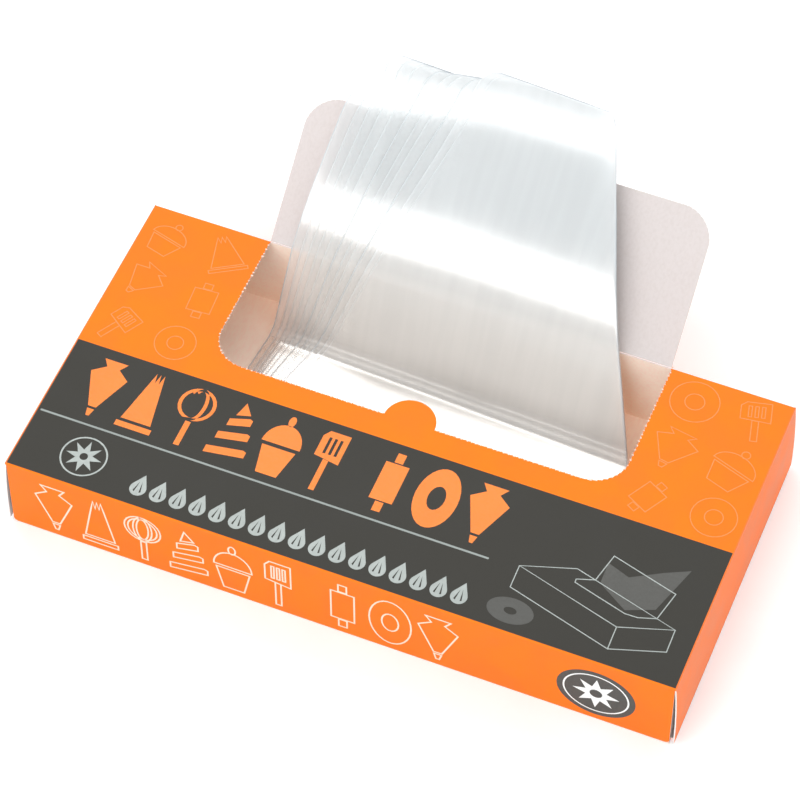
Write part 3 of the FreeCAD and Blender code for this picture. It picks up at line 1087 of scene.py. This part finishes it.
def film_piece(name, numbers, lowest, highest, film):
    """Piece made of several film walls, one for each bag number given."""
    rng = random.Random(int(sum(numbers) * SEED_STEP))
    fan_shift = rng.uniform(-FAN_JITTER, FAN_JITTER)
    left_weight = rng.uniform(*LEFT_WEIGHTS)
    vertices = []
    faces = []
    marks = {"seam": [], "haze_and_painted_light": [], "dull": [], "body": []}
    for number in numbers:
        rows, here = leaf(number, lowest, highest, fan_shift, left_weight, rng)
        first, stride = len(vertices), len(rows[0])
        vertices += [point for row in rows for point in row]
        for mark, values in here.items():
            marks[mark] += values
        for j in range(len(rows) - 1):
            for i in range(stride - 1):
                a = first + j * stride + i
                faces.append((a, a + 1, a + stride + 1, a + stride))
    mesh = bpy.data.meshes.new(name)
    mesh.from_pydata(vertices, [], faces)
    mesh.update()
    mesh.shade_smooth()
    for mark, values in marks.items():
        mesh.attributes.new(mark, "FLOAT", "POINT").data.foreach_set("value", values)
    mesh.materials.append(film)
    piece = bpy.data.objects.new(name, mesh)
    bpy.context.collection.objects.link(piece)
    return piece


def film_material():
    """Thin clear polyethylene: glossy, milkier and painted lighter low down, denser along its
    seams and folds.
    """
    n = Nodes("clear_film")
    streak = n.noise(n.stretch(n.coordinate(), STREAK_STRETCH), STREAK_SCALE, STREAK_DETAIL)
    # Paler tint low down: partly milkier film, partly painted light for the film standing in shade
    # in the mouth.
    tint = n.mix(n.attribute("haze_and_painted_light"), FILM_HIGH, FILM_LOW)
    tint = n.lighten(tint, n.ramp(streak, *NOISE_RANGE, *STREAK_LIGHTNESS))
    seam = n.attribute("seam")
    n.link(n.mix(seam, tint, FILM_SEAM), n.shader.inputs["Base Color"])
    gloss = n.math("MULTIPLY_ADD", n.attribute("dull"), STEEP_GLOSS - FILM_GLOSS, FILM_GLOSS)
    clear = n.math("SUBTRACT", 1.0, seam)
    n.link(n.math("MULTIPLY", gloss, clear), n.shader.inputs["Metallic"])
    n.link(n.ramp(streak, *NOISE_RANGE, *FILM_ROUGHNESS), n.shader.inputs["Roughness"])
    n.shader.inputs["Specular IOR Level"].default_value = FILM_SPECULAR
    n.link(n.math("MULTIPLY_ADD", seam, SEAM_ALPHA, n.attribute("body")), n.shader.inputs["Alpha"])
    return n.material


def bag_names(bundle):
    """The lying and standing CAD nodes of a bundle, counted from 0."""
    first = bundle * BAGS_PER_BUNDLE + 1
    last = min(first + BAGS_PER_BUNDLE - 1, BAG_COUNT - 1)
    base = "bags_%02d_to_%02d" % (first, last)
    return base + "_lying", base + "_standing"


FRONT_BAG_SPLIT = 12.0 * MM


def add_bundles(film):
    """Each bundle as one film piece, with its CAD nodes hidden."""
    for bundle in range(BUNDLES):
        lying, standing = bag_names(bundle)
        number = bundle * BAGS_PER_BUNDLE
        name = "film_bags_%02d" % (bundle + 1)
        bottom = front_edge(number * BAG_PITCH)
        piece = film_piece(name, (number, number + SECOND_WALL), bottom, TOP_NOMINAL, film)
        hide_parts(lying, standing)
        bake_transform(piece)


def add_front_bag(film):
    """The front bag in two pieces: a lying one and a standing one, split a little above its fold.
    """
    run = (crease_point(0) - fold_point(0)).length
    split = -run + FRONT_BAG_SPLIT
    numbers = (BAG_COUNT - 1, BAG_COUNT)
    bottom = front_edge((BAG_COUNT - 1) * BAG_PITCH + FRONT_BAG_GAP)
    lower = film_piece("film_front_bag_lying", numbers, bottom, split, film)
    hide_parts("front_bag_lying")
    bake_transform(lower)
    upper = film_piece("film_front_bag_standing", numbers, split, TOP_NOMINAL, film)
    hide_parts("front_bag_standing")
    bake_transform(upper)


def add_bags():
    """All the film, bent about the fold line of the stack."""
    film = film_material()
    add_bundles(film)
    add_front_bag(film)


# ---- stage, light and camera --------------------------------------------------------------------

CAMERA_AZIMUTH = math.radians(22.1)
CAMERA_ELEVATION = math.radians(53.1)
CAMERA_DISTANCE = 1.418
CAMERA_AIM = Vector((-7.5 * MM, 15.7 * MM, TOP))
CAMERA_LENS = 160.0
SENSOR = 36.0
LIGHT_AIM = Vector((0.0, 0.04, 0.05))


def direction(azimuth, elevation):
    """Unit vector towards a place seen from the object; azimuth 0 is the front."""
    flat = math.cos(elevation)
    return Vector((math.sin(azimuth) * flat, -math.cos(azimuth) * flat, math.sin(elevation)))


def aim(thing, target):
    """Turn a camera or light to face a point."""
    thing.rotation_euler = (target - thing.location).to_track_quat("-Z", "Y").to_euler()


def add_camera():
    """Camera at the photograph's viewing angle."""
    data = bpy.data.cameras.new("camera")
    data.lens = CAMERA_LENS
    data.sensor_width = SENSOR
    camera = bpy.data.objects.new("camera", data)
    bpy.context.collection.objects.link(camera)
    camera.location = CAMERA_AIM + direction(CAMERA_AZIMUTH, CAMERA_ELEVATION) * CAMERA_DISTANCE
    aim(camera, CAMERA_AIM)
    bpy.context.scene.camera = camera


def add_softbox(name, azimuth, elevation, distance, size, watts):
    """Rectangular softbox that faces the object, at angles in degrees and metres away."""
    data = bpy.data.lights.new(name, "AREA")
    data.shape = "RECTANGLE"
    data.size, data.size_y = size
    data.energy = watts
    light = bpy.data.objects.new(name, data)
    bpy.context.collection.objects.link(light)
    towards = direction(math.radians(azimuth), math.radians(elevation))
    light.location = LIGHT_AIM + towards * distance
    aim(light, LIGHT_AIM)


FLOOR_REACH = 6.0
FLOOR_LEVEL = -0.1 * MM
FLOOR_GRAIN = 40.0
FLOOR_ROUGHNESS = 0.8
FLOOR_GLOW = 0.15


def add_floor():
    """Plain pale floor with a slight glow of its own."""
    sides = ((-1, -1), (1, -1), (1, 1), (-1, 1))
    corners = [(x * FLOOR_REACH, y * FLOOR_REACH, FLOOR_LEVEL) for x, y in sides]
    mesh = bpy.data.meshes.new("floor")
    mesh.from_pydata(corners, [], [(0, 1, 2, 3)])
    n = Nodes("floor_paper")
    grain = n.ramp(n.noise(n.coordinate(), FLOOR_GRAIN), *NOISE_RANGE)
    n.link(n.mix(grain, FLOOR_PALER, FLOOR_PALE), n.shader.inputs["Base Color"])
    n.shader.inputs["Roughness"].default_value = FLOOR_ROUGHNESS
    n.shader.inputs["Emission Color"].default_value = (1.0, 1.0, 1.0, 1.0)
    n.shader.inputs["Emission Strength"].default_value = FLOOR_GLOW
    mesh.materials.append(n.material)
    floor = bpy.data.objects.new("floor", mesh)
    bpy.context.collection.objects.link(floor)


ROOM_FADE = 0.75
ROOM_LOW = 1.0
ROOM_HIGH = 0.42


def add_room():
    """Pale room, brighter low down than overhead."""
    world = bpy.data.worlds.new("room")
    world.use_nodes = True
    tree = world.node_tree
    place = tree.nodes.new("ShaderNodeTexCoord")
    split = tree.nodes.new("ShaderNodeSeparateXYZ")
    fade = tree.nodes.new("ShaderNodeMapRange")
    fade.interpolation_type = "SMOOTHSTEP"
    tree.links.new(place.outputs["Generated"], split.inputs[0])
    tree.links.new(split.outputs["Z"], fade.inputs["Value"])
    fade.inputs["From Max"].default_value = ROOM_FADE
    fade.inputs["To Min"].default_value = ROOM_LOW
    fade.inputs["To Max"].default_value = ROOM_HIGH
    background = tree.nodes["Background"]
    background.inputs["Color"].default_value = ROOM_TINT
    tree.links.new(fade.outputs[0], background.inputs["Strength"])
    bpy.context.scene.world = world


def add_softboxes():
    """Two broad softboxes whose reflections are the film's bright bands, and two to fill in."""
    add_softbox("front_softbox", -20.0, 34.0, 1.7, (1.9, 0.6), 14.0)
    add_softbox("rear_softbox", -158.0, 53.0, 1.7, (2.0, 0.6), 14.0)
    add_softbox("overhead_softbox", 8.0, 80.0, 1.5, (1.1, 0.5), 4.5)
    add_softbox("side_softbox", 75.0, 40.0, 1.6, (0.9, 0.9), 3.0)


# A line of sight can cross all 22 film walls, and light is passed on many times in the carton.
TRANSPARENT_BOUNCES = 64
DIFFUSE_BOUNCES = 8
ALL_BOUNCES = 12


def main():
    """Paint the frame, add every piece, then the stage."""
    paint_board()
    silver = ink_material("silver_ink", SILVER, rough=0.35, metallic=0.3)
    print_band_icons()
    print_drop_row(silver)
    print_front()
    print_box_drawing(silver)
    print_pattern()
    torn_fibres()
    add_bags()
    add_floor()
    add_room()
    add_softboxes()
    add_camera()
    scene = bpy.context.scene
    scene.view_settings.view_transform = "Standard"
    scene.cycles.transparent_max_bounces = TRANSPARENT_BOUNCES
    scene.cycles.diffuse_bounces = DIFFUSE_BOUNCES
    scene.cycles.max_bounces = ALL_BOUNCES


main()
